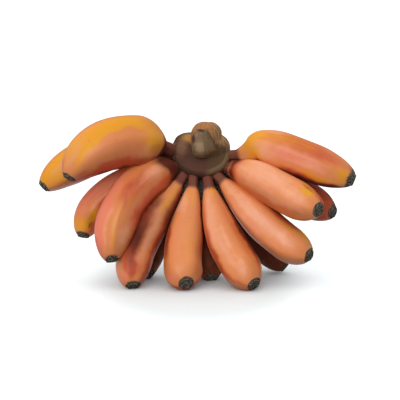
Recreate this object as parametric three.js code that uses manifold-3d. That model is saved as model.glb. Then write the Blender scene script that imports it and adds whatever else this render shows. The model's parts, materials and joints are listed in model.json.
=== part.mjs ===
// A hand of red bananas, standing on its fingertips with the crown up: a woody crown with the
// stub of the bunch stalk, and fourteen fingers that fan out from it in two rows.
// Millimetres. +Z is up, +X runs along the width, and the fingertips lean out towards -Y.
import * as THREE from 'three';
import { mergeVertices } from 'three/addons/utils/BufferGeometryUtils.js';
import Module from 'manifold-3d';

const wasm = await Module();
wasm.setup();

// Clear space between pieces that grow together or press on each other.
const GAP = 0.3;

// The finger: a rounded pentagon in section, thin at its stalk and blunt at its flower end.
const FINGER_SIDES = 20;
const PENTAGON_POWER = 5;
const PENTAGON_SCALE = 0.97;
const SHOULDER_FULLNESS = 0.5;
const BLUNTNESS = 0.7;
const FLOWER_END_RADIUS = 6.4;
const FLOWER_END_LENGTH = 1.6;
const FLOWER_END_FACE_RADIUS = 5;

// Each finger's middle line passes through four points: where its stalk leaves the crown, one
// third and two thirds of the way along, and its flower end. girth and stalk are radii. As
// shares of the length, the finger starts to swell at stalkEnd, is full at shoulder and starts
// to taper at taper. turn is how far its five ridges are turned about the middle line, in degrees.
const FINGERS = [
  {
    name: 'front_finger_1',
    points: [[-19, 39, 136], [-69, -3, 158], [-109, -23, 150], [-138, -38, 121]],
    girth: 26.5, stalk: 6.5, stalkEnd: 0.19, shoulder: 0.43, taper: 0.64, turn: 10,
  },
  {
    name: 'front_finger_2',
    points: [[-12, 32, 123], [-61, -6, 110.5], [-87, -29, 73], [-92, -44, 31]],
    girth: 22, stalk: 6.5, stalkEnd: 0.1, shoulder: 0.34, taper: 0.7, turn: 20,
  },
  {
    name: 'front_finger_3',
    points: [[-13, 20, 119], [-37, -1, 87], [-63, -18, 44], [-70, -42, 2]],
    girth: 19.5, stalk: 5.8, stalkEnd: 0.1, shoulder: 0.6, taper: 0.78, turn: 20,
  },
  {
    name: 'front_finger_4',
    points: [[-5, 18, 118], [-9, -3, 82], [-16, -20, 40], [-12, -55, 8.5]],
    girth: 20.6, stalk: 5.6, stalkEnd: 0.12, shoulder: 0.64, taper: 0.82, turn: 18,
  },
  {
    name: 'front_finger_5',
    points: [[10, 18, 118], [18, -3, 82], [34, -20, 42], [62, -53, 7.5]],
    girth: 21.2, stalk: 5.6, stalkEnd: 0.12, shoulder: 0.64, taper: 0.79, turn: 40,
  },
  {
    name: 'front_finger_6',
    points: [[18, 20, 119], [51, -2, 87], [86, -18, 55], [122, -38, 36]],
    girth: 19.5, stalk: 5.8, stalkEnd: 0.1, shoulder: 0.6, taper: 0.78, turn: 15,
  },
  {
    name: 'front_finger_7',
    points: [[20, 33, 124], [64, 1, 116], [101, -23, 99], [132, -48, 88]],
    girth: 20.6, stalk: 6.5, stalkEnd: 0.14, shoulder: 0.46, taper: 0.76, turn: 50,
  },
  {
    name: 'front_finger_8',
    points: [[12.5, 37, 135.3], [61, 20, 145.3], [80.5, 13, 148.5], [171, -10, 115]],
    girth: 21.3, stalk: 4.8, stalkEnd: 0.2, shoulder: 0.54, taper: 0.71, turn: 25,
  },
  {
    name: 'back_finger_1',
    points: [[-16, 42, 134], [-71, 40, 142], [-122, 33, 132], [-171.5, 16, 102]],
    girth: 20.2, stalk: 8, stalkEnd: 0.05, shoulder: 0.44, taper: 0.68, turn: 30,
  },
  {
    name: 'back_finger_2',
    points: [[-12, 44, 118], [-60, 35, 110], [-104, 29, 88], [-128, 16, 45]],
    girth: 18.5, stalk: 8, stalkEnd: 0.04, shoulder: 0.44, taper: 0.76, turn: 0,
  },
  {
    name: 'back_finger_3',
    points: [[-5, 35, 118], [-25, 29, 77], [-51, 23, 35], [-54, 4, 4]],
    girth: 17.5, stalk: 8.5, stalkEnd: 0.03, shoulder: 0.46, taper: 0.78, turn: 20,
  },
  {
    name: 'back_finger_4',
    points: [[7, 35, 116], [9, 27, 74], [11, 16, 33], [16, -3, 3]],
    girth: 17.5, stalk: 8.5, stalkEnd: 0.03, shoulder: 0.46, taper: 0.8, turn: 50,
  },
  {
    name: 'back_finger_5',
    points: [[15, 36, 118], [46, 39, 78], [73, 40, 35], [99, 38, 4]],
    girth: 18, stalk: 8.5, stalkEnd: 0.03, shoulder: 0.46, taper: 0.76, turn: 10,
  },
  {
    name: 'back_finger_6',
    points: [[20, 42, 131], [71, 37, 114], [114, 22, 91], [150, 0, 77]],
    girth: 18.5, stalk: 8.5, stalkEnd: 0.04, shoulder: 0.44, taper: 0.78, turn: 40,
  },
];

// The crown is turned about a disc whose centre and tilt towards -Y are given here, then made a
// little lower than it is wide.
const CROWN_CENTRE = new THREE.Vector3(4, 24, 140);
const CROWN_TILT_DEGREES = 45;
const CROWN_HEIGHT_SHARE = 0.87;
const CROWN_SEGMENTS = 32;
const CROWN_PROFILE = [
  [0, 3], [10, 2.4], [16, 1], [21, 0.1], [27, 0.3], [31, -2.2], [32, -5], [31.6, -8.5],
  [29, -14], [24, -23], [16, -31], [0, -35],
];

// Rounded lumps, each a centre and half sizes: the swelling on the crown's left shoulder, in the
// crown's own frame, and the flare at the foot of the stub.
const LEFT_SWELL = { centre: [-14, 8.5, -3], half: [17.5, 17, 6.5] };
const STUB_FLARE = { centre: [20, 32, 143.5], half: [15.5, 12, 16.5] };
const LUMP_SEGMENTS = 20;
const LUMP_BANDS = 12;

// Upright forms, each ring as its centre, half width and half depth, and height: the stub of
// the bunch stalk, and the scar that leans on its front, wide below and narrow above.
const UPRIGHT_SIDES = 24;
const STUB_RINGS = [
  [10, 29, 17.3, 13.8, 128], [10, 29, 17.3, 13.8, 158], [10, 29, 17, 13.6, 164],
  [10, 29, 15.6, 12.5, 168.5], [10, 29, 12.5, 10, 172], [10, 29, 8.5, 6.8, 173.8],
  [10, 29, 4, 3.2, 174.4],
];
const SCAR_RINGS = [
  [5, 17, 3, 3, 134.5], [5, 15.5, 7, 7.5, 136.7], [6.3, 14, 11.2, 10.5, 140],
  [7.3, 13, 13.6, 12, 144.5], [6.6, 13, 13.4, 12, 150], [5, 13.5, 11.9, 10.8, 155.7],
  [4.1, 14, 10.6, 9.5, 159], [4, 14.5, 8.8, 8, 162.4], [4.2, 15, 7, 6.5, 165],
  [4.4, 15.5, 4, 4, 166.4],
];

// Builds a closed tube through rings of equal size, with a fan over each end.
function loft(rings) {
  const sides = rings[0].length;
  const positions = rings.flat().flatMap((point) => point.toArray());
  const faces = [];
  for (let ring = 0; ring < rings.length - 1; ring += 1) {
    for (let side = 0; side < sides; side += 1) {
      const here = ring * sides + side;
      const next = ring * sides + (side + 1) % sides;
      faces.push(here, next, next + sides, here, next + sides, here + sides);
    }
  }
  const lastRing = (rings.length - 1) * sides;
  const startCentre = rings.length * sides;
  const endCentre = startCentre + 1;
  for (const ring of [rings[0], rings[rings.length - 1]]) {
    const centre = ring.reduce((sum, point) => sum.add(point), new THREE.Vector3());
    positions.push(...centre.divideScalar(sides).toArray());
  }
  for (let side = 0; side < sides; side += 1) {
    const next = (side + 1) % sides;
    faces.push(startCentre, next, side, endCentre, lastRing + side, lastRing + next);
  }
  const geometry = new THREE.BufferGeometry();
  geometry.setAttribute('position', new THREE.Float32BufferAttribute(positions, 3));
  geometry.setIndex(faces);
  return geometry;
}

// Turns a closed geometry into a solid that can be joined and cut.
function toSolid(geometry) {
  const bare = geometry.clone();
  bare.deleteAttribute('normal');
  bare.deleteAttribute('uv');
  const merged = mergeVertices(bare);
  return new wasm.Manifold(new wasm.Mesh({
    numProp: 3,
    vertProperties: merged.attributes.position.array,
    triVerts: Uint32Array.from(merged.index.array),
  }));
}

function toGeometry(solid) {
  const mesh = solid.getMesh();
  const geometry = new THREE.BufferGeometry();
  geometry.setAttribute('position', new THREE.BufferAttribute(mesh.vertProperties, 3));
  geometry.setIndex(new THREE.BufferAttribute(mesh.triVerts, 1));
  geometry.computeVertexNormals();
  return geometry;
}

function largestPiece(solid) {
  return solid.decompose().reduce((best, piece) => (piece.volume() > best.volume() ? piece : best));
}

// The cubic curve that passes through four points at a third and two thirds of its run.
function middleLine(points) {
  const [root, third, twoThirds, tip] = points.map((point) => new THREE.Vector3(...point));
  const weigh = (a, b, c, d) => new THREE.Vector3()
    .addScaledVector(root, a / 6)
    .addScaledVector(third, b / 6)
    .addScaledVector(twoThirds, c / 6)
    .addScaledVector(tip, d / 6);
  return new THREE.CubicBezierCurve3(root, weigh(-5, 18, -9, 2), weigh(2, -9, 18, -5), tip);
}

// How far a rounded pentagon of radius 1 reaches in a direction, given in radians.
function pentagonReach(angle) {
  let sum = 0;
  for (let flat = 0; flat < 5; flat += 1) {
    const facing = Math.cos(angle - flat * 2 * Math.PI / 5);
    sum += Math.max(facing, 0) ** PENTAGON_POWER;
  }
  return PENTAGON_SCALE * sum ** (-1 / PENTAGON_POWER);
}

// The shares of a finger's length where it has a ring, each with the ring's radius.
function fingerStations(finger, length) {
  const bodyEnd = 1 - FLOWER_END_LENGTH / length;
  const stations = [[0, finger.stalk]];
  for (const run of [0, 0.25, 0.5, 0.75, 1]) {
    const share = THREE.MathUtils.lerp(finger.stalkEnd, finger.shoulder, run);
    const swell = THREE.MathUtils.smoothstep(run, 0, 1) ** SHOULDER_FULLNESS;
    stations.push([share, THREE.MathUtils.lerp(finger.stalk, finger.girth, swell)]);
  }
  stations.push([(finger.shoulder + finger.taper) / 2, finger.girth]);
  for (const run of [0, 0.35, 0.6, 0.8, 0.93, 1]) {
    const share = THREE.MathUtils.lerp(finger.taper, bodyEnd, run);
    const fullness = (1 - run * run) ** BLUNTNESS;
    stations.push([share, THREE.MathUtils.lerp(FLOWER_END_RADIUS, finger.girth, fullness)]);
  }
  stations.push([1, FLOWER_END_FACE_RADIUS]);
  return stations;
}

function fingerSolid(finger, grow = 0) {
  const middle = middleLine(finger.points);
  const stations = fingerStations(finger, middle.getLength());
  const turn = THREE.MathUtils.degToRad(finger.turn);
  const across = new THREE.Vector3().crossVectors(middle.getTangentAt(0), new THREE.Vector3(0, 1, 0));
  const rings = stations.map(([share, radius]) => {
    const centre = middle.getPointAt(share);
    const along = middle.getTangentAt(share);
    across.addScaledVector(along, -across.dot(along)).normalize();
    const over = new THREE.Vector3().crossVectors(along, across);
    return Array.from({ length: FINGER_SIDES }, (_, side) => {
      const angle = side * 2 * Math.PI / FINGER_SIDES;
      const reach = radius * pentagonReach(angle - turn) + grow;
      return centre.clone()
        .addScaledVector(across, reach * Math.cos(angle))
        .addScaledVector(over, reach * Math.sin(angle));
    });
  });
  return toSolid(loft(rings));
}

function lumpGeometry({ centre, half }, grow) {
  const lump = new THREE.SphereGeometry(1, LUMP_SEGMENTS, LUMP_BANDS);
  lump.rotateX(Math.PI / 2);
  lump.scale(...half.map((size) => size + grow));
  lump.translate(...centre);
  return lump;
}

function uprightSolid(rings, grow) {
  return toSolid(loft(rings.map(([x, y, halfWidth, halfDepth, height]) => (
    Array.from({ length: UPRIGHT_SIDES }, (_, side) => {
      const angle = side * 2 * Math.PI / UPRIGHT_SIDES;
      return new THREE.Vector3(
        x + (halfWidth + grow) * Math.cos(angle),
        y + (halfDepth + grow) * Math.sin(angle),
        height,
      );
    })
  ))));
}

// The whole crown: the turned cushion, its swollen shoulder, the stub with its flare, the scar.
function crownSolid(grow = 0) {
  const place = new THREE.Matrix4()
    .makeRotationX(THREE.MathUtils.degToRad(CROWN_TILT_DEGREES))
    .setPosition(CROWN_CENTRE);
  const outline = CROWN_PROFILE.map(([radius, height]) => {
    const outward = radius > 0 ? radius + grow : 0;
    return new THREE.Vector2(outward, height + (height > -5 ? grow : -grow));
  });
  const cushion = new THREE.LatheGeometry(outline.reverse(), CROWN_SEGMENTS);
  cushion.rotateX(Math.PI / 2);
  cushion.scale(1, CROWN_HEIGHT_SHARE, 1);
  return toSolid(cushion.applyMatrix4(place))
    .add(toSolid(lumpGeometry(LEFT_SWELL, grow).applyMatrix4(place)))
    .add(toSolid(lumpGeometry(STUB_FLARE, grow)))
    .add(uprightSolid(STUB_RINGS, grow))
    .add(uprightSolid(SCAR_RINGS, grow));
}

const skin = new THREE.MeshStandardMaterial({ color: 0xc8683a, roughness: 0.5, metalness: 0 });
const bark = new THREE.MeshStandardMaterial({ color: 0x6b4f3c, roughness: 0.85, metalness: 0 });

const hand = new THREE.Group();

const crown = new THREE.Mesh(toGeometry(crownSolid()), bark);
crown.name = 'crown';
hand.add(crown);

// A finger ends at the crown, gives way to the fingers placed before it, and is flat where it
// stands on the surface at height 0.
const takenSpace = [crownSolid(GAP)];
for (const finger of FINGERS) {
  let solid = fingerSolid(finger);
  for (const taken of takenSpace) {
    solid = solid.subtract(taken);
  }
  solid = largestPiece(solid.trimByPlane([0, 0, 1], 0));
  takenSpace.push(fingerSolid(finger, GAP));
  const mesh = new THREE.Mesh(toGeometry(solid), skin);
  mesh.name = finger.name;
  hand.add(mesh);
}

export default hand;
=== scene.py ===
import json
import math

import bmesh
import bpy
import numpy as np
from mathutils import Matrix, Vector, noise

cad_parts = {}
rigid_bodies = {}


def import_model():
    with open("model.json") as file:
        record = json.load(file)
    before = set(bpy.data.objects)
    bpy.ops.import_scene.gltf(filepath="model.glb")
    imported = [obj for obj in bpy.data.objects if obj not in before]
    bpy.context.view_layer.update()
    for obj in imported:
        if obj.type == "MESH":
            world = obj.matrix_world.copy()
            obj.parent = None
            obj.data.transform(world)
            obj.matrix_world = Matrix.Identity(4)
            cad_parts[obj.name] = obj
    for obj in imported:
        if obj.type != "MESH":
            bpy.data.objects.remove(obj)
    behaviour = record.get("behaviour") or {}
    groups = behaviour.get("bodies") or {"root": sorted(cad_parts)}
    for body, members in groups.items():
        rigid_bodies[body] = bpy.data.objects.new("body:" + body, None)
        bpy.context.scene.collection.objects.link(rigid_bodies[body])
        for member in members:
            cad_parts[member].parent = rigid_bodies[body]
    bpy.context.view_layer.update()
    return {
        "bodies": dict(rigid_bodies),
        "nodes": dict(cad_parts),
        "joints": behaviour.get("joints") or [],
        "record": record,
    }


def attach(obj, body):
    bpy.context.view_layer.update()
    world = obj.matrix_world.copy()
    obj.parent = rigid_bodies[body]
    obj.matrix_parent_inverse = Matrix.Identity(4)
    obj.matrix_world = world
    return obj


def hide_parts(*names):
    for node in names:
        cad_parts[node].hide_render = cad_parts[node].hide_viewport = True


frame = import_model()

# ---------------------------------------------------------------------------------------------
# The view of the hand: a long lens about a metre and a half in front of the fingertips, ten
# degrees above the middle of the hand, so that the fanned fingers keep their true proportions.
# ---------------------------------------------------------------------------------------------
LENS_MM = 120.0
FILM_WIDTH_MM = 36.0
VIEW_HEIGHT_DEGREES = 10.0
VIEW_TARGET_MM = (2.75, -2.0, 91.3)
VIEW_DISTANCE_MM = 1466.7

MM = 0.001
look_down = math.radians(VIEW_HEIGHT_DEGREES)
camera = bpy.data.cameras.new("view")
camera.lens = LENS_MM
camera.sensor_width = FILM_WIDTH_MM
view = bpy.data.objects.new("view", camera)
toward_camera = Vector((0, -math.cos(look_down), math.sin(look_down)))
view.location = (Vector(VIEW_TARGET_MM) + VIEW_DISTANCE_MM * toward_camera) * MM
view.rotation_euler = (math.pi / 2 - look_down, 0, 0)
bpy.context.scene.collection.objects.link(view)
bpy.context.scene.camera = view

# ---------------------------------------------------------------------------------------------
# The fingers. Each is one fruit with its own short stalk: a blunt, gently bent body, a rounded
# pentagon in section, with a waxy orange-red peel that turns gold on some ridges, brown on the
# stalk and black and rough at the flower end. Highlights and shade are painted into the peel as
# well. They grow from the crown in two rows.
# ---------------------------------------------------------------------------------------------

# The three back fingers that hang behind the front row get painted shade on their fronts and black
# painted shade on their necks.
SHADED_FRONT = [(90, 0.5, 125, 1.2, 0.95)]
SHADED_NECK = [(90, 0.1, 75, 0.25, 1)]

# The middle line of a finger passes through four points, from the stalk to the flower end, in
# millimetres. girth and stalk are radii. stalk_end, shoulder and taper are shares of the length:
# where the stalk begins to swell, where the finger has its full girth and where it begins to
# round off. turn is how far its five-sided section is turned, in degrees.
#
# The other rows are patches of colour, each (degrees around, share along, half width in degrees,
# half length as a share, strength), and a sixth number leans a patch by so many degrees over the
# finger's length. Seen from the stalk the degrees grow clockwise: 0 is the finger's left side, 90
# its front and 180 its right side.
# Besides the peel's own colours the patches paint in light and shade: peach patches are painted
# highlights on the front ridges, some gold patches are painted highlights on shoulders and ends,
# and shade patches are maroon peel together with painted shade under and between the fingers.
FINGERS = {
    "front_finger_1": dict(
        points=[(-19, 39, 136), (-69, -3, 157.1), (-109.5, -23, 149.7), (-138.6, -38, 120.8)],
        girth=27.1, stalk=7, stalk_end=0.18, shoulder=0.43, taper=0.64, turn=10,
        gold=[(148, 0.74, 12, 0.2, 1, -100), (166, 0.6, 18, 0.14, 0.9),
              (146, 0.37, 44, 0.13, 0.6), (178, 0.84, 36, 0.15, 0.65), (98, 0.36, 36, 0.06, 0.45)],
        peach_and_highlight=[(172, 0.84, 36, 0.14, 0.8), (105, 0.34, 34, 0.06, 0.7), (82, 0.42, 20, 0.14, 0.4)],
        red=[(64, 0.62, 15, 0.5, 0.9), (84, 0.64, 15, 0.2, 0.35), (110, 0.5, 14, 0.2, 0.3),
             (160, 0.5, 30, 0.22, 0.5), (50, 0.72, 13, 0.26, 0.6), (95, 0.93, 18, 0.07, 0.5),
             (132, 0.86, 10, 0.1, 0.35)],
        shade=[(42, 0.65, 11, 0.4, 0.8), (68, 0.4, 12, 0.12, 0.4), (100, 0.25, 70, 0.045, 0.9),
               (52, 0.19, 60, 0.06, 1)]),
    "front_finger_2": dict(
        points=[(-12, 32, 123), (-61, -6, 110.5), (-87.5, -29, 73), (-92, -44, 31)],
        girth=22, stalk=6.5, stalk_end=0.1, shoulder=0.34, taper=0.7, turn=20,
        gold=[(131, 0.82, 7, 0.17, 0.65, -43), (118, 0.6, 12, 0.14, 0.2)],
        peach_and_highlight=[(160, 0.8, 10, 0.16, 0.6), (96, 0.84, 26, 0.12, 0.6), (128, 0.33, 26, 0.1, 0.6)],
        blush=[(178, 0.75, 24, 0.24, 0.9), (192, 0.55, 14, 0.24, 0.6), (120, 0.42, 24, 0.14, 0.25)],
        red=[(64, 0.45, 25, 0.42, 1), (105, 0.38, 40, 0.36, 0.35), (138, 0.52, 22, 0.14, 0.5),
             (168, 0.42, 22, 0.14, 0.25), (188, 0.9, 16, 0.12, 0.6)],
        shade=[(54, 0.45, 17, 0.42, 0.6), (100, 0.15, 120, 0.06, 0.95), (150, 0.21, 36, 0.08, 1),
               (126, 0.7, 7, 0.2, 0.25, -43), (146, 0.42, 8, 0.14, 0.3, -43)],
        char=[(130, 1, 75, 0.042, 1)]),
    "front_finger_3": dict(
        points=[(-13, 20, 119), (-37, -1, 87), (-63, -18, 44), (-69, -42, 2.6)],
        girth=19.5, stalk=5.8, stalk_end=0.1, shoulder=0.6, taper=0.78, turn=20,
        gold=[(84, 0.28, 24, 0.16, 0.6)],
        peach_and_highlight=[(80, 0.55, 16, 0.36, 0.6), (108, 0.4, 12, 0.12, 0.5)],
        blush=[(150, 0.93, 24, 0.06, 0.9)],
        red=[(112, 0.86, 24, 0.08, 0.45), (26, 0.6, 28, 0.7, 1), (60, 0.84, 20, 0.2, 0.3),
             (95, 0.88, 30, 0.09, 0.4), (124, 0.6, 28, 0.3, 1, -20), (52, 0.32, 30, 0.16, 0.45)],
        shade=[(14, 0.44, 22, 0.3, 0.7), (42, 0.32, 26, 0.12, 0.45),
               (116, 0.66, 22, 0.2, 0.85, -20), (122, 0.36, 20, 0.12, 0.5),
               (66, 0.5, 36, 0.4, 0.42)],
        char=[(104, 1, 80, 0.028, 1)]),
    "front_finger_4": dict(
        points=[(-5, 18, 118), (-9, -3, 82), (-15.6, -20, 40), (-11.6, -55, 9.2)],
        girth=20.6, stalk=5.6, stalk_end=0.12, shoulder=0.64, taper=0.82, turn=18,
        gold=[(90, 0.22, 50, 0.08, 0.45), (72, 0.6, 26, 0.34, 0.3)],
        peach_and_highlight=[(105, 0.3, 22, 0.12, 0.5), (140, 0.25, 20, 0.13, 0.95), (100, 0.8, 16, 0.12, 0.3),
               (158, 0.34, 15, 0.2, 0.7)],
        blush=[(152, 0.92, 20, 0.06, 0.7)],
        red=[(2, 0.42, 18, 0.3, 0.9), (38, 0.68, 14, 0.34, 0.25), (150, 0.6, 16, 0.16, 0.9)],
        shade=[(0, 0.3, 18, 0.18, 0.9), (10, 0.32, 18, 0.12, 0.5), (152, 0.6, 13, 0.12, 0.4),
               (0, 0.44, 13, 0.16, 0.5), (136, 0.72, 10, 0.12, 0.35)]),
    "front_finger_5": dict(
        points=[(10, 18, 118), (18, -3, 82), (34, -20, 42), (62, -53, 7.5)],
        girth=21.2, stalk=5.6, stalk_end=0.12, shoulder=0.64, taper=0.79, turn=40,
        gold=[(70, 0.18, 50, 0.06, 0.5), (42, 0.74, 16, 0.24, 0.3)],
        peach_and_highlight=[(104, 0.5, 22, 0.5, 0.75), (128, 0.42, 13, 0.26, 0.6)],
        blush=[(139, 0.42, 9, 0.2, 0.7)],
        red=[(18, 0.6, 14, 0.42, 0.9), (44, 0.62, 16, 0.34, 0.5), (146, 0.65, 11, 0.4, 0.9)],
        shade=[(14, 0.57, 13, 0.32, 0.9), (142, 0.6, 11, 0.28, 0.4)]),
    "front_finger_6": dict(
        points=[(18, 20, 119), (51, -2, 87), (86.4, -18, 55.4), (122.5, -38, 36.4)],
        girth=20, stalk=5.8, stalk_end=0.1, shoulder=0.6, taper=0.78, turn=15,
        gold=[(14, 0.9, 22, 0.09, 0.9), (60, 0.13, 50, 0.04, 0.5), (38, 0.76, 12, 0.14, 0.5)],
        peach_and_highlight=[(82, 0.42, 28, 0.34, 0.85), (80, 0.78, 16, 0.12, 0.5), (128, 0.52, 14, 0.34, 0.6)],
        blush=[(118, 0.5, 16, 0.4, 0.4)],
        red=[(12, 0.58, 20, 0.24, 1), (40, 0.6, 12, 0.2, 0.2), (148, 0.52, 14, 0.36, 0.4)],
        shade=[(10, 0.52, 14, 0.16, 0.5), (0, 0.95, 14, 0.05, 0.3)]),
    "front_finger_7": dict(
        points=[(20, 33, 124), (64, 1, 116), (101, -23, 99.5), (130.6, -48, 88.4)],
        girth=20.6, stalk=6.5, stalk_end=0.14, shoulder=0.46, taper=0.76, turn=50,
        gold=[(30, 0.34, 24, 0.1, 0.4), (6, 0.88, 18, 0.1, 0.6), (34, 0.87, 15, 0.07, 0.8)],
        peach_and_highlight=[(50, 0.48, 34, 0.3, 0.85), (60, 0.8, 20, 0.12, 0.5), (104, 0.62, 16, 0.32, 0.65),
               (12, 0.45, 14, 0.2, 0.6)],
        blush=[(86, 0.5, 20, 0.3, 0.5)],
        red=[(122, 0.55, 24, 0.4, 0.5), (0, 0.9, 18, 0.08, 0.6), (8, 0.7, 14, 0.2, 0.4),
             (60, 0.24, 110, 0.045, 1)],
        shade=[(60, 0.2, 110, 0.04, 0.8), (110, 0.235, 30, 0.04, 0.4), (6, 0.235, 30, 0.04, 0.5),
               (10, 0.85, 9, 0.06, 0.5)]),
    "front_finger_8": dict(
        points=[(12.5, 37, 135.3), (61, 20, 143.7), (80.5, 13, 146.6), (171.3, -10, 114)],
        girth=21.4, stalk=5.4, stalk_end=0.19, shoulder=0.52, taper=0.71, turn=25,
        gold=[(80, 0.32, 60, 0.09, 0.75), (20, 0.32, 26, 0.07, 0.7), (112, 0.8, 10, 0.14, 0.65),
              (28, 0.56, 34, 0.24, 0.45), (74, 0.93, 40, 0.05, 0.7), (120, 0.31, 14, 0.12, 0.3)],
        peach_and_highlight=[(88, 0.35, 36, 0.13, 1), (88, 0.7, 14, 0.14, 0.5), (124, 0.24, 18, 0.09, 0.7),
               (4, 0.42, 14, 0.12, 0.6)],
        blush=[(82, 0.58, 20, 0.2, 0.8)],
        red=[(28, 0.64, 38, 0.3, 0.85), (58, 0.78, 22, 0.14, 0.2), (130, 0.71, 16, 0.2, 1)],
        shade=[(138, 0.68, 13, 0.26, 1), (142, 0.86, 14, 0.12, 0.8), (16, 0.95, 24, 0.04, 0.4),
               (30, 0.15, 60, 0.05, 0.8)],
        char=[(90, 1, 300, 0.05, 1)]),
    "back_finger_1": dict(
        points=[(-16, 42, 134), (-71, 40, 142), (-123, 33, 132.8), (-172.3, 16, 102.2)],
        girth=21, stalk=8, stalk_end=0.05, shoulder=0.44, taper=0.68, turn=30,
        gold=[(125, 0.8, 68, 0.4, 1)],
        blush=[(128, 0.78, 20, 0.06, 0.3), (6, 0.82, 20, 0.3, 0.5)],
        red=[(30, 0.8, 18, 0.4, 0.7)],
        shade=[(60, 0.15, 200, 0.12, 0.8)]),
    "back_finger_2": dict(
        points=[(-12, 44, 118), (-60, 35, 110), (-104, 29, 88), (-128, 16, 45.6)],
        girth=18.5, stalk=8, stalk_end=0.04, shoulder=0.44, taper=0.76, turn=0,
        gold=[(98, 0.85, 16, 0.1, 0.9), (130, 0.93, 50, 0.04, 0.8)],
        peach_and_highlight=[(146, 0.54, 32, 0.14, 0.5), (140, 0.74, 30, 0.16, 0.3)],
        blush=[(150, 0.64, 42, 0.25, 1)],
        red=[(92, 0.66, 22, 0.16, 0.8), (70, 0.9, 18, 0.1, 0.7)],
        shade=[(60, 0.18, 200, 0.12, 0.8), (84, 0.9, 6, 0.04, 0.5), (104, 0.86, 22, 0.09, 0.4)],
        char=[(120, 1, 75, 0.04, 1)]),
    "back_finger_3": dict(
        points=[(-5, 35, 118), (-25, 29, 77), (-51.4, 23, 35), (-54.8, 4, 4)],
        girth=17.5, stalk=8.5, stalk_end=0.03, shoulder=0.46, taper=0.78, turn=20,
        shade=SHADED_FRONT,
        char=SHADED_NECK),
    "back_finger_4": dict(
        points=[(7, 35, 116), (9, 27, 74), (11, 16, 33), (16, -3, 1.6)],
        girth=17.5, stalk=8.5, stalk_end=0.03, shoulder=0.46, taper=0.8, turn=50,
        shade=SHADED_FRONT,
        # Blotches of black painted shade on its lower front as well.
        char=[*SHADED_NECK, (90, 0.8, 110, 0.5, 0.36)]),
    "back_finger_5": dict(
        points=[(15, 36, 118), (46, 39, 78), (74.4, 40, 36.3), (100.6, 38, 5.8)],
        girth=18, stalk=8.5, stalk_end=0.03, shoulder=0.46, taper=0.76, turn=10,
        shade=SHADED_FRONT,
        char=SHADED_NECK),
    "back_finger_6": dict(
        points=[(20, 42, 131), (71, 37, 114.6), (115, 22, 91.7), (151, 0, 77.2)],
        girth=19, stalk=8.5, stalk_end=0.04, shoulder=0.44, taper=0.78, turn=40,
        blush=[(170, 0.92, 40, 0.06, 0.3)],
        red=[(90, 0.6, 300, 1, 0.9)],
        shade=[(60, 0.5, 300, 0.6, 0.6), (-6, 0.8, 12, 0.3, 0.5)]),
}

FINGER_SIDES = 96
FINGER_RINGS = 150
LINE_STEPS = 600
PENTAGON_POWER = 5
PENTAGON_SCALE = 0.97
SHOULDER_FULLNESS = 0.5
BLUNTNESS = 0.7
FLOWER_END_RADIUS = 6.4
FLOWER_END_LENGTH = 1.6

# The peel swells slowly by up to SWELL, in lumps of SWELL_LUMP, and the flower end is rough by
# up to SCAR_ROUGHNESS, in grains of SCAR_GRAIN, all in millimetres. Each finger takes its own
# stretch of the noise, OWN_STRETCH after the last one's.
SWELL = 0.45
SWELL_LUMP = 26
SCAR_ROUGHNESS = 0.55
SCAR_GRAIN = 1.6
OWN_STRETCH = 90

# How patches of colour fade, and how far their edges wander, in slow and quick waves of so many
# millimetres. The rear turns red all over within REAR_RED degrees off the front: the peel's own
# red, together with painted shade on the flanks turned away from the front. Char covers the flower
# end where its radius is within CHAR_RADII and it lies past CHAR_SHARES.
PATCH_FADE = 0.9
PATCH_FIRMNESS = 1.15
WANDER_DEGREES = 9
WANDER_SHARE = 0.05
SLOW_WAVE_AROUND = 17
QUICK_WAVE_AROUND = 7
WAVE_ALONG = 21
WAVE_ALONG_SHIFT = (0, 0, 40)
REAR_RED = (82, 125)
CHAR_RADII = (6.6, 10.5)
CHAR_SHARES = (0.9, 0.95)

# The scar of the flower: steps out and in from the end of the body, as (how far past the end
# of the body, radius), from the lip of the ring to the nub in its middle.
FLOWER_SCAR = [(0.3, 6.5), (0.8, 6.4), (1.3, 6.0), (1.5, 5.3), (1.3, 4.6), (1.0, 3.9),
               (0.9, 3.0), (1.1, 2.2), (1.6, 1.5), (1.7, 0.7)]


def smoothstep(low, high, value):
    """0 below low, 1 above high, and a soft step from one to the other."""
    run = np.clip((value - low) / (high - low), 0, 1)
    return run * run * (3 - 2 * run)


def middle_line(points):
    """Places along the curve through four points, and how far along it each one lies."""
    root, third, two_thirds, tip = (np.array(point, float) for point in points)
    near = (-5 * root + 18 * third - 9 * two_thirds + 2 * tip) / 6
    far = (2 * root - 9 * third + 18 * two_thirds - 5 * tip) / 6
    t = np.linspace(0, 1, LINE_STEPS)[:, None]
    line = ((1 - t) ** 3 * root + 3 * (1 - t) ** 2 * t * near
            + 3 * (1 - t) * t ** 2 * far + t ** 3 * tip)
    run = np.concatenate([[0], np.cumsum(np.linalg.norm(np.diff(line, axis=0), axis=1))])
    return line, run


def pentagon_reach(angle):
    """How far a rounded pentagon of radius 1 reaches in a direction."""
    total = np.zeros_like(angle)
    for flat in range(5):
        facing = np.cos(angle - flat * 2 * math.pi / 5)
        total += np.maximum(facing, 0) ** PENTAGON_POWER
    return PENTAGON_SCALE * total ** (-1 / PENTAGON_POWER)


def body_radius(share, finger, body_end):
    """The radius of a finger at shares of its length, up to the end of its body."""
    swell = smoothstep(finger["stalk_end"], finger["shoulder"], share) ** SHOULDER_FULLNESS
    radius = finger["stalk"] + (finger["girth"] - finger["stalk"]) * swell
    run = np.clip((share - finger["taper"]) / (body_end - finger["taper"]), 0, 1)
    roundness = (1 - run ** 2) ** BLUNTNESS
    blunt = FLOWER_END_RADIUS + (finger["girth"] - FLOWER_END_RADIUS) * roundness
    return np.where(share > finger["taper"], blunt, radius)


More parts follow.
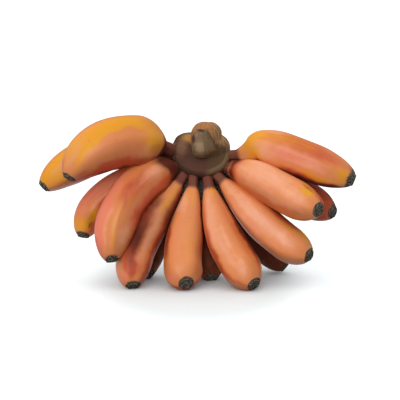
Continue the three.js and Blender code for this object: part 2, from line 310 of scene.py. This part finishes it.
def painted(patches, degrees, share):
    """The strength of a colour, from its patches, at places around and along a finger."""
    strength = np.zeros(np.broadcast(degrees, share).shape)
    for around, along, wide, long, amount, *lean in patches:
        middle = around + sum(lean) * (share - along)
        off = (degrees - middle + 180) % 360 - 180
        reach = (off / wide) ** 2 + ((share - along) / long) ** 2
        strength += amount * np.exp(-PATCH_FADE * reach ** PATCH_FIRMNESS)
    return np.clip(strength, 0, 1)


def keep_numbers(mesh, name, numbers):
    """Stores one number, or one vector, for each corner point of a mesh."""
    vector = np.ndim(numbers) == 2
    layer = mesh.attributes.new(name, "FLOAT_VECTOR" if vector else "FLOAT", "POINT")
    layer.data.foreach_set("vector" if vector else "value", np.asarray(numbers, float).ravel())


def finger_mesh(name, finger, order):
    """A finger's skin, ring by ring along its middle line, with its colours kept on it."""
    line, run = middle_line(finger["points"])
    length = run[-1]
    body_end = 1 - FLOWER_END_LENGTH / length
    shares = np.concatenate([
        np.linspace(0, finger["taper"], FINGER_RINGS // 2, endpoint=False),
        finger["taper"] + (body_end - finger["taper"]) * np.sin(
            np.linspace(0, math.pi / 2, FINGER_RINGS // 2)),
    ])
    radii = body_radius(shares, finger, body_end)
    tip_shares = [body_end + past / length for past, _ in FLOWER_SCAR]
    shares = np.concatenate([shares, tip_shares])
    radii = np.concatenate([radii, [radius for _, radius in FLOWER_SCAR]])

    # each ring's middle, and the directions along the finger, across it and to its front
    distance = shares * length
    centres = np.stack([np.interp(distance, run, line[:, axis]) for axis in range(3)], 1)
    before = np.stack([np.interp(distance - 1, run, line[:, axis]) for axis in range(3)], 1)
    after = np.stack([np.interp(distance + 1, run, line[:, axis]) for axis in range(3)], 1)
    along = after - before
    along /= np.linalg.norm(along, axis=1)[:, None]
    across = np.cross(along[0], (0, 1, 0))
    sideways = []
    for direction in along:
        across = across - direction * across.dot(direction)
        across /= np.linalg.norm(across)
        sideways.append(across)
    sideways = np.array(sideways)
    over = np.cross(along, sideways)
    past_end = np.maximum(distance - length, 0)  # the nub lies just past the end of the line
    centres += along * past_end[:, None]

    angle = np.linspace(0, 2 * math.pi, FINGER_SIDES, endpoint=False)
    angle_grid, share_grid = np.meshgrid(angle, shares)
    reach = radii[:, None] * pentagon_reach(angle_grid - math.radians(finger["turn"]))
    straight = np.stack([reach * np.cos(angle_grid), reach * np.sin(angle_grid),
                         np.broadcast_to(distance[:, None], reach.shape)], 2)

    # slow swells along the body, roughness on the flower end, and how the colours' edges wander
    body = smoothstep(0.1, 0.3, share_grid) * (share_grid < body_end)
    rough = smoothstep(body_end - 0.01, body_end + 0.004, share_grid)
    wander_around = np.zeros(reach.shape)
    wander_along = np.zeros(reach.shape)
    own_stretch = (OWN_STRETCH * order, 0, 0)
    for ring, side in np.ndindex(reach.shape):
        place = Vector(straight[ring, side]) + Vector(own_stretch)
        swell = noise.noise(place / SWELL_LUMP)
        wander_around[ring, side] = (noise.noise(place / SLOW_WAVE_AROUND)
                                     + 0.5 * noise.noise(place / QUICK_WAVE_AROUND))
        wander_along[ring, side] = noise.noise(place / WAVE_ALONG + Vector(WAVE_ALONG_SHIFT))
        reach[ring, side] += SWELL * body[ring, side] * swell
        if rough[ring, side] > 0:
            grain = noise.noise(place / SCAR_GRAIN)
            reach[ring, side] += SCAR_ROUGHNESS * rough[ring, side] * grain

    corners = (centres[:, None, :]
               + sideways[:, None, :] * (reach * np.cos(angle_grid))[:, :, None]
               + over[:, None, :] * (reach * np.sin(angle_grid))[:, :, None]).reshape(-1, 3)
    rings = len(shares)
    ends = np.array([centres[0], centres[-1] + along[-1] * 0.2])
    vertices = np.concatenate([corners, ends]) * MM
    vertices[:, 2] = np.maximum(vertices[:, 2], 0)  # the lowest fingers stand on small flats

    faces = []
    for ring in range(rings - 1):
        for side in range(FINGER_SIDES):
            here = ring * FINGER_SIDES + side
            beside = ring * FINGER_SIDES + (side + 1) % FINGER_SIDES
            faces.append((here, beside, beside + FINGER_SIDES, here + FINGER_SIDES))
    root_middle = len(corners)
    tip_middle = root_middle + 1
    last = (rings - 1) * FINGER_SIDES
    for side in range(FINGER_SIDES):
        beside = (side + 1) % FINGER_SIDES
        faces.append((root_middle, beside, side))
        faces.append((tip_middle, last + side, last + beside))

    mesh = bpy.data.meshes.new(name)
    mesh.from_pydata(vertices.tolist(), [], faces)
    mesh.polygons.foreach_set("use_smooth", [True] * len(mesh.polygons))

    # the finger as if it were straight, for patterns that run along it
    straight_corners = np.concatenate([straight.reshape(-1, 3), [[0, 0, 0], [0, 0, length]]])
    keep_numbers(mesh, "straight", (straight_corners + own_stretch) * MM)

    # colours, the last two numbers of each being for the middles of the two ends
    degrees = np.degrees(angle_grid) + WANDER_DEGREES * wander_around
    wandering_share = share_grid + WANDER_SHARE * wander_along
    off_front = np.abs((degrees - 90 + 180) % 360 - 180)
    for paint in ("gold", "peach_and_highlight", "blush", "red", "shade"):
        strength = painted(finger.get(paint, []), degrees, wandering_share)
        # Red is the peel's own red, and also painted shade on the flanks turned away from the
        # front.
        if paint == "red":
            strength = np.maximum(strength, smoothstep(*REAR_RED, off_front))
        keep_numbers(mesh, paint, np.concatenate([strength.ravel(), [0, 0]]))
    stalk = 1 - smoothstep(finger["stalk_end"] - 0.02, finger["stalk_end"] + 0.07, share_grid)
    keep_numbers(mesh, "stalk", np.concatenate([stalk.ravel(), [1, 0]]))
    char = (1 - smoothstep(*CHAR_RADII, reach)) * smoothstep(*CHAR_SHARES, share_grid)
    # The char patches also lay black painted shade on the necks of the back fingers.
    char = np.maximum(char, painted(finger.get("char", []), degrees, share_grid))
    keep_numbers(mesh, "char", np.concatenate([char.ravel(), [0, 1]]))
    return mesh


class Wire:
    """An output of a material's nodes. Arithmetic on wires adds Math nodes."""

    def __init__(self, tree, socket=None):
        self.tree = tree
        self.socket = socket

    def node(self, kind, settings=None, inputs=None, output=0):
        """A new node's output. Its settings come first, then the values or wires it takes."""
        made = self.tree.nodes.new(kind)
        for name, value in (settings or {}).items():
            setattr(made, name, value)
        for name, value in (inputs or {}).items():
            if isinstance(value, Wire):
                self.tree.links.new(value.socket, made.inputs[name])
            else:
                made.inputs[name].default_value = value
        return Wire(self.tree, made.outputs[output])

    def math(self, operation, first, second):
        return self.node("ShaderNodeMath", {"operation": operation}, {0: first, 1: second})

    def __add__(self, other):
        return self.math("ADD", self, other)

    __radd__ = __add__

    def __mul__(self, other):
        return self.math("MULTIPLY", self, other)

    __rmul__ = __mul__

    def __sub__(self, other):
        return self.math("SUBTRACT", self, other)

    def __rsub__(self, other):
        return self.math("SUBTRACT", other, self)

    def between(self, low, high):
        """0 below low, 1 above high, and a soft step from one to the other."""
        settings = {"interpolation_type": "SMOOTHSTEP"}
        return self.node("ShaderNodeMapRange", settings,
                         {"Value": self, "From Min": low, "From Max": high})

    def number(self, name):
        """A number kept on the mesh."""
        return self.node("ShaderNodeAttribute", {"attribute_name": name}, output="Fac")

    def place(self, name):
        """A vector kept on the mesh."""
        return self.node("ShaderNodeAttribute", {"attribute_name": name}, output="Vector")

    def stretched(self, x, y, z):
        """This place, scaled along each axis."""
        return self.node("ShaderNodeVectorMath", {"operation": "MULTIPLY"},
                         {0: self, 1: (x, y, z)})

    def clouds(self, size_mm, detail=3.0):
        """Soft noise from 0 to 1 over this place, with blobs of about the size given."""
        return self.node("ShaderNodeTexNoise", {},
                         {"Vector": self, "Scale": 1 / (size_mm * MM), "Detail": detail})

    def blend(self, share, first, second):
        """From one colour to another as the share goes from 0 to 1."""
        return self.node("ShaderNodeMix", {"data_type": "RGBA"},
                         {0: share, 6: first, 7: second}, 2)

    def cover(self, mask, colour):
        """This colour with another laid over it where the mask says."""
        return self.blend(mask, self, colour)


def colour(red, green, blue):
    """A colour on the 0 to 255 scale of paint charts, as the light that it reflects."""
    def light(value):
        value /= 255
        return value / 12.92 if value <= 0.04045 else ((value + 0.055) / 1.055) ** 2.4
    return (light(red), light(green), light(blue), 1.0)


def new_material(name):
    material = bpy.data.materials.new(name)
    material.use_nodes = True
    material.node_tree.nodes.clear()
    return material, Wire(material.node_tree)


def relief(wire, height, strength, depth_mm):
    """A surface's direction, roughened by a height from 0 to 1."""
    return wire.node("ShaderNodeBump", {},
                     {"Height": height, "Strength": strength, "Distance": depth_mm * MM})


def finish_material(wire, inputs):
    """Ends a material with its surface."""
    surface = wire.node("ShaderNodeBsdfPrincipled", {}, inputs)
    output = wire.tree.nodes.new("ShaderNodeOutputMaterial")
    wire.tree.links.new(surface.socket, output.inputs["Surface"])


ORANGE_PEEL = colour(218, 137, 78)
RED_PEEL = colour(194, 80, 42)
GOLD_PEEL = colour(226, 154, 10)
BLUSH_PEEL = colour(232, 132, 106)
PEACH_AND_HIGHLIGHT = colour(234, 168, 132)
MAROON_AND_SHADE = colour(94, 36, 18)
STALK_BROWN = colour(112, 70, 46)
STALK_PURPLE = colour(114, 60, 54)
FRECKLE = colour(116, 56, 34)
CHARRED = colour(40, 37, 31)
CHAR_ASH = colour(122, 114, 102)


def peel_material():
    """Waxy peel: colours laid over orange skin one by one, some of them painted highlight and
    painted shade, then stalk bark and char.
    """
    material, wire = new_material("banana peel")
    straight = wire.place("straight")
    broad = straight.clouds(22)
    mottle = straight.clouds(6)
    streaks = straight.stretched(1, 1, 0.08).clouds(4, detail=4)
    pores = straight.clouds(1.2, detail=2)
    ragged = (broad - 0.5) * 0.5 + (mottle - 0.5) * 0.3 + (streaks - 0.5) * 0.5

    skin = wire.blend((streaks * 0.6 + mottle * 0.4).between(0.35, 0.65) * 0.25, ORANGE_PEEL,
                      BLUSH_PEEL)
    # Red: the peel's own red, and painted shade on flanks and undersides.
    skin = skin.cover((wire.number("red") + ragged * 0.7).between(0.1, 0.95), RED_PEEL)
    skin = skin.cover((wire.number("blush") + ragged).between(0.1, 1.0) * 0.9, BLUSH_PEEL)
    # Peach: paler peel, and painted highlight along the front ridges.
    skin = skin.cover((wire.number("peach_and_highlight") + ragged).between(0.1, 1.0) * 0.9, PEACH_AND_HIGHLIGHT)
    skin = skin.cover((wire.number("gold") + ragged).between(0.1, 0.9) * 0.95, GOLD_PEEL)
    # The shade patches lay maroon: the peel's own maroon, and painted shade under and between the
    # fingers.
    dark = (wire.number("shade") + ragged * 0.5).between(0.05, 1.0)
    skin = skin.cover(dark, MAROON_AND_SHADE)
    freckles = straight.stretched(1, 1, 0.5).clouds(2.2, detail=1).between(0.72, 0.8)
    skin = skin.cover(freckles * 0.3, FRECKLE)
    stalk = (wire.number("stalk") + (streaks - 0.5) * 0.4).between(0.1, 0.8)
    bark = wire.blend(streaks.between(0.35, 0.65), STALK_BROWN, STALK_PURPLE)
    skin = skin.cover(stalk, bark)
    # Char: the black flower ends, and black painted shade on the back fingers' necks and lower
    # fronts.
    char = (wire.number("char") + (mottle - 0.5) * 0.5 + (pores - 0.5) * 0.5).between(0.4, 0.65)
    soot = wire.blend(pores.between(0.44, 0.6), CHARRED, CHAR_ASH)
    skin = skin.cover(char, soot)

    height = mottle * 0.3 + streaks * 0.15 + pores * 0.1 + char * pores * 1.5
    roughness = 0.45 + mottle * 0.1 + char * 0.4 + stalk * 0.2 + dark * 0.35
    finish_material(wire, {
        "Base Color": skin, "Roughness": roughness, "Specular IOR Level": 0.25,
        "Coat Weight": 0.4 * (1 - char) * (1 - stalk) * (1 - dark), "Coat Roughness": 0.3,
        "Subsurface Weight": 0.08, "Subsurface Radius": (0.004, 0.0015, 0.0008),
        "Subsurface Scale": 1.0, "Normal": relief(wire, height, strength=0.3, depth_mm=0.3)})
    return material


peel = peel_material()
for order, (node, finger) in enumerate(FINGERS.items()):
    mesh = finger_mesh(node, finger, order)
    mesh.materials.append(peel)
    banana = bpy.data.objects.new(node.replace("finger", "banana"), mesh)
    bpy.context.scene.collection.objects.link(banana)
    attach(banana, "root")
    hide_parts(node)

# ---------------------------------------------------------------------------------------------
# The crown: the woody cushion that every finger grows from, grown in one piece with the fluted stub
# of the bunch stalk and the rounded scar on its front. Dry, brown and fibrous, with painted
# highlights on its rim, its edges and its left swelling, and painted shade below the rim and in the
# scar's crease. It is built up from rounded lumps, skinned over as one, then smoothed.
# ---------------------------------------------------------------------------------------------

# The cushion leans back. Its profile is turned about its own axis, as (radius, height) from the
# middle of its face, over the rim and down to where the fingers join, in millimetres.
CROWN_CENTRE = Vector((4, 24, 140))
CROWN_TILT_DEGREES = 45
CROWN_HEIGHT_SHARE = 0.87
CROWN_PROFILE = [(0, 3), (10, 2.4), (16, 1), (21, 0.1), (24.5, 0), (27, 0.3), (29, -0.3),
                 (31, -2.2), (32, -5), (31.6, -8.5), (29, -14), (24, -23), (16, -31), (0, -35)]

# Rounded lumps, each a centre and half sizes: the swelling on the crown's left shoulder, in the
# crown's own frame, and the flare at the foot of the stub.
LEFT_SWELL = ((-13.8, 10, -1.5), (18.2, 19.2, 8.4))
STUB_FLARE = ((20.6, 32, 143.8), (16.2, 12, 17.2))

# Upright forms, as (x, y, half width, half depth, height) of each ring: the stub of the bunch
# stalk, and the scar that leans on its front, wide below and narrow above.
STUB_RINGS = [(10, 29, 17.3, 13.8, 128), (10, 29, 17.3, 13.8, 158), (10, 29, 17, 13.6, 164),
              (10.3, 29, 15, 12.2, 168.2), (10.3, 29, 11.6, 9.4, 171.6),
              (10.3, 29, 7.8, 6.3, 173.4), (10.3, 29, 3.6, 3, 174)]
SCAR_RINGS = [(5, 17, 3, 3, 134.5), (5, 15.5, 7, 7.5, 136.7), (6.3, 14, 11.2, 10.5, 140),
              (7.3, 13, 13.6, 12, 144.5), (6.6, 13, 13.4, 12, 150), (5, 13.5, 11.9, 10.8, 155.7),
              (4.1, 14, 10.6, 9.5, 159), (4, 14.5, 8.8, 8, 162.4), (4.2, 15, 7, 6.5, 165),
              (4.4, 15.5, 4, 4, 166.4)]
LUMP_SIDES = 72
CROWN_VOXEL = 0.8
CROWN_SMOOTHINGS = 10

crown_place = Matrix.Translation(CROWN_CENTRE) @ Matrix.Rotation(
    math.radians(CROWN_TILT_DEGREES), 4, "X")


def add_lump(lumps, centre, half, frame=Matrix()):
    """A ball stretched to its half sizes."""
    placed = frame @ Matrix.Translation(centre) @ Matrix.Diagonal((*half, 1))
    bmesh.ops.create_icosphere(lumps, subdivisions=4, radius=1, matrix=placed)


def add_cushion(lumps):
    """The crown's profile, turned about its axis and a little flattened."""
    rings = []
    for radius, height in CROWN_PROFILE:
        rings.append([])
        for step in range(LUMP_SIDES if radius else 1):
            turn = step * 2 * math.pi / LUMP_SIDES
            corner = Vector((radius * math.cos(turn),
                             radius * CROWN_HEIGHT_SHARE * math.sin(turn), height))
            rings[-1].append(lumps.verts.new(crown_place @ corner))
    for inner, outer in zip(rings, rings[1:]):
        for step in range(LUMP_SIDES):
            following = (step + 1) % LUMP_SIDES
            corners = [inner[step % len(inner)], outer[step % len(outer)],
                       outer[following % len(outer)], inner[following % len(inner)]]
            lumps.faces.new(dict.fromkeys(corners))


def add_upright(lumps, rings):
    """A form skinned over oval rings, closed below and above."""
    made = []
    for x, y, half_width, half_depth, height in rings:
        turns = [step * 2 * math.pi / LUMP_SIDES for step in range(LUMP_SIDES)]
        made.append([lumps.verts.new((
            x + half_width * math.cos(turn), y + half_depth * math.sin(turn), height))
            for turn in turns])
    for low, high in zip(made, made[1:]):
        for step in range(LUMP_SIDES):
            following = (step + 1) % LUMP_SIDES
            lumps.faces.new((low[step], low[following], high[following], high[step]))
    lumps.faces.new(reversed(made[0]))
    lumps.faces.new(made[-1])


def crown_mesh():
    """All the lumps skinned over as one and smoothed, still in millimetres."""
    lumps = bmesh.new()
    add_cushion(lumps)
    add_lump(lumps, *LEFT_SWELL, crown_place)
    add_lump(lumps, *STUB_FLARE)
    add_upright(lumps, STUB_RINGS)
    add_upright(lumps, SCAR_RINGS)
    bmesh.ops.recalc_face_normals(lumps, faces=lumps.faces)
    rough = bpy.data.meshes.new("crown lumps")
    lumps.to_mesh(rough)
    lumps.free()
    worked = bpy.data.objects.new("crown lumps", rough)
    bpy.context.scene.collection.objects.link(worked)
    skin = worked.modifiers.new("skin", "REMESH")
    skin.mode = "VOXEL"
    skin.voxel_size = CROWN_VOXEL
    smooth = worked.modifiers.new("smooth", "SMOOTH")
    smooth.factor = 0.5
    smooth.iterations = CROWN_SMOOTHINGS
    shaped = bpy.data.meshes.new_from_object(
        worked.evaluated_get(bpy.context.evaluated_depsgraph_get()))
    bpy.data.objects.remove(worked)
    bpy.data.meshes.remove(rough)
    return shaped


BARK_RED = colour(88, 56, 44)
BARK_BROWN = colour(78, 54, 38)
BARK_OLIVE = colour(84, 63, 41)
BARK_LEFT = colour(118, 84, 66)
BARK_SWELL_HIGHLIGHT = colour(168, 124, 62)
BARK_RIM_HIGHLIGHT = colour(112, 92, 68)
BARK_RIM_SHADE = colour(62, 42, 34)
BARK_EDGE_HIGHLIGHT = colour(152, 122, 104)
FIBRE_LIGHT = colour(172, 118, 74)
FIBRE_DARK = colour(140, 98, 60)
FIBRE_ASHEN = colour(164, 132, 92)
FIBRE_BROWN = colour(112, 82, 58)
ASH_DARK = colour(114, 94, 72)
ASH_LIGHT = colour(146, 126, 100)
ASH_FLECK = colour(176, 158, 132)
ASH_SCAR_RIGHT = colour(108, 89, 64)
SCAR_CREASE_SHADOW = colour(78, 48, 36)


def crown_material():
    """Bark, the fibres of the stub and the ash of the scar, each where its number says, with
    painted highlights and painted shade laid among them.
    """
    material, wire = new_material("crown bark")
    place = wire.node("ShaderNodeTexCoord", output="Object")
    patches = place.clouds(12)
    grain = place.clouds(2.2, detail=5)
    fibre = wire.place("fibre").clouds(1.3, detail=4)
    stub = wire.number("stub")
    scar = wire.number("scar")
    ragged = (patches - 0.5) * 0.5 + (grain - 0.5) * 0.3
    bark = wire.blend(patches.between(0.35, 0.65), BARK_RED, BARK_BROWN)
    bark = bark.cover((wire.number("olive") + ragged).between(0.2, 0.8), BARK_OLIVE)
    bark = bark.cover((wire.number("left") + ragged).between(0.2, 0.9), BARK_LEFT)
    bark = bark.cover((wire.number("swell_highlight") + ragged * 0.6).between(0.15, 1.0), BARK_SWELL_HIGHLIGHT)
    bark = bark.cover((wire.number("rim") + ragged * 0.4).between(0.1, 1.0), BARK_RIM_HIGHLIGHT)
    bark = bark.cover((wire.number("rim_shade") + ragged * 0.4).between(0.1, 1.0) * 0.8, BARK_RIM_SHADE)
    bark = bark.cover(wire.number("edge_highlight") * grain.between(0.3, 0.6) * 0.8, BARK_EDGE_HIGHLIGHT)
    fibres = wire.blend(fibre.between(0.4, 0.62), FIBRE_LIGHT, FIBRE_DARK)
    ashen = wire.blend(fibre.between(0.4, 0.6), FIBRE_ASHEN, FIBRE_BROWN)
    fibres = fibres.cover(wire.number("stub_right"), ashen)
    bark = bark.cover((stub + (grain - 0.5) * 0.3).between(0.1, 0.9), fibres)
    ash = wire.blend((wire.number("lit") + ragged).between(0.2, 0.9), ASH_DARK, ASH_LIGHT)
    flecks = (grain.between(0.55, 0.7) + patches * 0.3).between(0.2, 1.0)
    ash = ash.cover(flecks * 0.5, ASH_FLECK)
    ash = ash.cover((wire.number("scar_right") + ragged * 0.6).between(0.2, 0.8), ASH_SCAR_RIGHT)
    ash = ash.cover((wire.number("crease_shadow") + ragged * 0.6).between(0.3, 0.9), SCAR_CREASE_SHADOW)
    bark = bark.cover((scar + (grain - 0.5) * 0.2).between(0.3, 0.7), ash)
    height = grain * 0.5 + fibre * stub * 0.9
    finish_material(wire, {
        "Base Color": bark, "Roughness": 0.65 + grain * 0.2, "Specular IOR Level": 0.2,
        "Normal": relief(wire, height, strength=0.45, depth_mm=0.6)})
    return material


def lump_reach(places, lump):
    """How far places are from a lump's centre, where 1 is its surface."""
    centre, half = lump
    return np.linalg.norm((places - centre) / half, axis=1)


def dress_crown(mesh):
    """Marks the crown's regions, roughens it, brings it to metres and gives it its bark."""
    count = len(mesh.vertices)
    places = np.empty(count * 3)
    mesh.vertices.foreach_get("co", places)
    places = places.reshape(-1, 3)
    normals = np.empty(count * 3)
    mesh.vertex_normals.foreach_get("vector", normals)
    normals = normals.reshape(-1, 3)
    to_crown = np.array(crown_place.inverted())
    own = places @ to_crown[:3, :3].T + to_crown[:3, 3]
    right, up, out = own.T
    stub_x, stub_y, half_width, half_depth, _ = STUB_RINGS[0]
    across = places[:, 0] - stub_x
    deep = (places[:, 1] - stub_y) * half_width / half_depth
    from_stub = np.hypot(across, deep)
    around = np.arctan2(deep, across)
    height = places[:, 2]
    scar_rings = np.array(SCAR_RINGS, float).T
    scar_x, scar_y, wide, deep_half = (
        np.interp(height, scar_rings[4], ring) for ring in scar_rings[:4])
    on_scar = np.hypot((places[:, 0] - scar_x) / (wide + 1),
                       (places[:, 1] - scar_y) / (deep_half + 1))
    scar = 1 - smoothstep(1.0, 1.08, on_scar)
    scar *= smoothstep(135, 138, height) * (1 - smoothstep(166, 168, height))
    stem = (1 - smoothstep(17, 21, from_stub)) * smoothstep(146, 154, height)
    flare = 1 - smoothstep(1.0, 1.15, lump_reach(places, STUB_FLARE))
    flare *= smoothstep(143, 154, height)
    stub = np.maximum(stem, flare) * smoothstep(0, 3, out) * (1 - scar)
    radius = np.hypot(right, up / CROWN_HEIGHT_SHARE)
    lower_right = smoothstep(4, 24, right - 0.3 * up) * (up < 12)

    # where each finish lies; right, up and out are in millimetres in the cushion's own frame
    masks = {
        "stub": stub,
        "scar": scar,
        # painted highlight, a lighter band along the lower right rim
        "rim": np.exp(-((radius - 29.8) / 2.6) ** 4) * smoothstep(-10, -4, out) * lower_right,
        # painted shade along the lower rim, left of the lighter band
        "rim_shade": smoothstep(27.5, 29.5, radius) * (1 - lower_right) * (up < 8) * 0.7,
        "olive": smoothstep(0, 12, right) * (up < 12),
        # painted highlight on the top of the left swelling
        "swell_highlight": np.exp(-((right + 13) / 10) ** 2 - ((up - 17) / 9) ** 2) * (out > -6),
        "left": np.exp(-((right + 22) / 8) ** 2 - ((up - 4) / 12) ** 2) * (out > -6),
        # painted highlight, a light line along the cushion's left and right edges
        "edge_highlight": (smoothstep(30.4, 31.4, radius) * smoothstep(23, 27, np.abs(right))
                 * (np.abs(up - 2) < 9) * smoothstep(-12, -8, out)),
        # darker and more olive towards the scar's right side
        "scar_right": smoothstep(6, 9, places[:, 0] + 0.15 * (height - 150)),
        "lit": np.exp(-((places[:, 0] - 2.5) / 6.5) ** 2 - ((height - 149) / 8) ** 2),
        "stub_right": smoothstep(14, 22, places[:, 0]),
        # painted shadow in the crease where the scar meets the stub, and darker along the scar's
        # left side
        "crease_shadow": (np.exp(-((places[:, 0] - 3) / 6) ** 2 - ((height - 167) / 2.4) ** 2)
                   + np.exp(-((places[:, 0] + 4.5) / 2.5) ** 2 - ((height - 158) / 6) ** 2))}

    # a crease down the scar, flutes and ribs along the stub, and a little unevenness all over
    along = places[:, 0] - 7.5 + 0.1 * (height - 155)
    shift = scar * (0.5 * np.exp(-((along - 3.5) / 1.3) ** 2) - 0.8 * np.exp(-(along / 1.6) ** 2)
                    - 1.2 * smoothstep(0, 3, along))
    for number in range(count):
        place = Vector(places[number])
        flutes = math.cos(11 * around[number] + 2.5 * noise.noise(place / 14))
        ribs = noise.noise(Vector((9 * around[number], place.z / 30, 3.1)))
        below_top = 1 - (height[number] > 168) * 0.6
        shift[number] += stub[number] * below_top * (0.1 * flutes + 0.45 * ribs)
        shift[number] += 0.5 * noise.noise(place / 9) + 0.25 * noise.noise(place / 2.8)
    places += normals * shift[:, None]
    mesh.vertices.foreach_set("co", (places * MM).ravel())
    mesh.polygons.foreach_set("use_smooth", [True] * len(mesh.polygons))
    for name, mask in masks.items():
        keep_numbers(mesh, name, mask)
    fibre = np.stack([around * 16, from_stub * 0.15, places[:, 2] * 0.12], 1)
    keep_numbers(mesh, "fibre", fibre * MM)
    mesh.materials.clear()
    mesh.materials.append(crown_material())
    mesh.update()


crown_shape = crown_mesh()
dress_crown(crown_shape)
crown = bpy.data.objects.new("banana_crown", crown_shape)
bpy.context.scene.collection.objects.link(crown)
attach(crown, "root")
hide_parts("crown")

# ---------------------------------------------------------------------------------------------
# The setting: a white floor that runs out of sight and glows a little outside the hand's soft
# shadow, a soft light from the front, a low warm one from the front left, a very broad one from
# above and slightly behind, and a faint white sky.
# ---------------------------------------------------------------------------------------------
FLOOR_HALF_M = 30.0
FLOOR_WHITE = (0.87, 0.945, 0.965, 1)
NO_GLOW = (0, 0, 0, 1)
WHITE_GLOW = (1, 1, 1, 1)
GLOW_HALF_WIDTH_M = 0.118
GLOW_HALF_DEPTH_M = 0.2

floor_mesh = bpy.data.meshes.new("floor")
floor_mesh.from_pydata(
    [(-FLOOR_HALF_M, -FLOOR_HALF_M, 0), (FLOOR_HALF_M, -FLOOR_HALF_M, 0),
     (FLOOR_HALF_M, FLOOR_HALF_M, 0), (-FLOOR_HALF_M, FLOOR_HALF_M, 0)], [], [(0, 1, 2, 3)])
floor_material, floor_wire = new_material("floor")
from_middle = floor_wire.node("ShaderNodeVectorMath", {"operation": "LENGTH"}, {
    0: floor_wire.node("ShaderNodeNewGeometry", output="Position").stretched(
        1 / GLOW_HALF_WIDTH_M, 1 / GLOW_HALF_DEPTH_M, 0)}, output="Value")
floor_glow = floor_wire.blend(from_middle.between(0.7, 1.15), NO_GLOW, WHITE_GLOW)
finish_material(floor_wire, {
    "Base Color": FLOOR_WHITE, "Roughness": 0.6, "Specular IOR Level": 0.1,
    "Emission Color": floor_glow, "Emission Strength": 0.22})
floor_mesh.materials.append(floor_material)
floor = bpy.data.objects.new("floor", floor_mesh)
floor.visible_diffuse = False
bpy.context.scene.collection.objects.link(floor)


def soft_sun(name, strength, spread_degrees, toward, tint=(1, 1, 1)):
    """A light so far off that it falls evenly. toward points from the hand to the light."""
    light = bpy.data.lights.new(name, "SUN")
    light.energy = strength
    light.color = tint
    light.angle = math.radians(spread_degrees)
    sun = bpy.data.objects.new(name, light)
    sun.rotation_euler = Vector(toward).to_track_quat("Z", "Y").to_euler()
    bpy.context.scene.collection.objects.link(sun)
    return sun


WARM = (1, 0.62, 0.4)
soft_sun("front light", 1.37, spread_degrees=42, toward=(-0.2, -0.95, 0.38))
low_light = soft_sun("low light", 0.95, spread_degrees=50, toward=(-0.7, -0.7, 0.05), tint=WARM)
top_light = soft_sun("top light", 2.5, spread_degrees=140, toward=(-0.02, 0.3, 1.0))
low_light.visible_glossy = False
top_light.visible_glossy = False

sky = bpy.data.worlds.new("sky")
sky.use_nodes = True
sky.node_tree.nodes.clear()
air = Wire(sky.node_tree)
upward = air.node("ShaderNodeSeparateXYZ", {}, {
    0: air.node("ShaderNodeTexCoord", output="Generated")}, "Z")
glow = air.node("ShaderNodeBackground", {}, {
    "Color": (1, 1, 1, 1), "Strength": 0.06 + 0.18 * upward.between(-0.2, 0.4)})
sky_output = sky.node_tree.nodes.new("ShaderNodeOutputWorld")
sky.node_tree.links.new(glow.socket, sky_output.inputs["Surface"])
bpy.context.scene.world = sky
bpy.context.scene.view_settings.view_transform = "Standard"
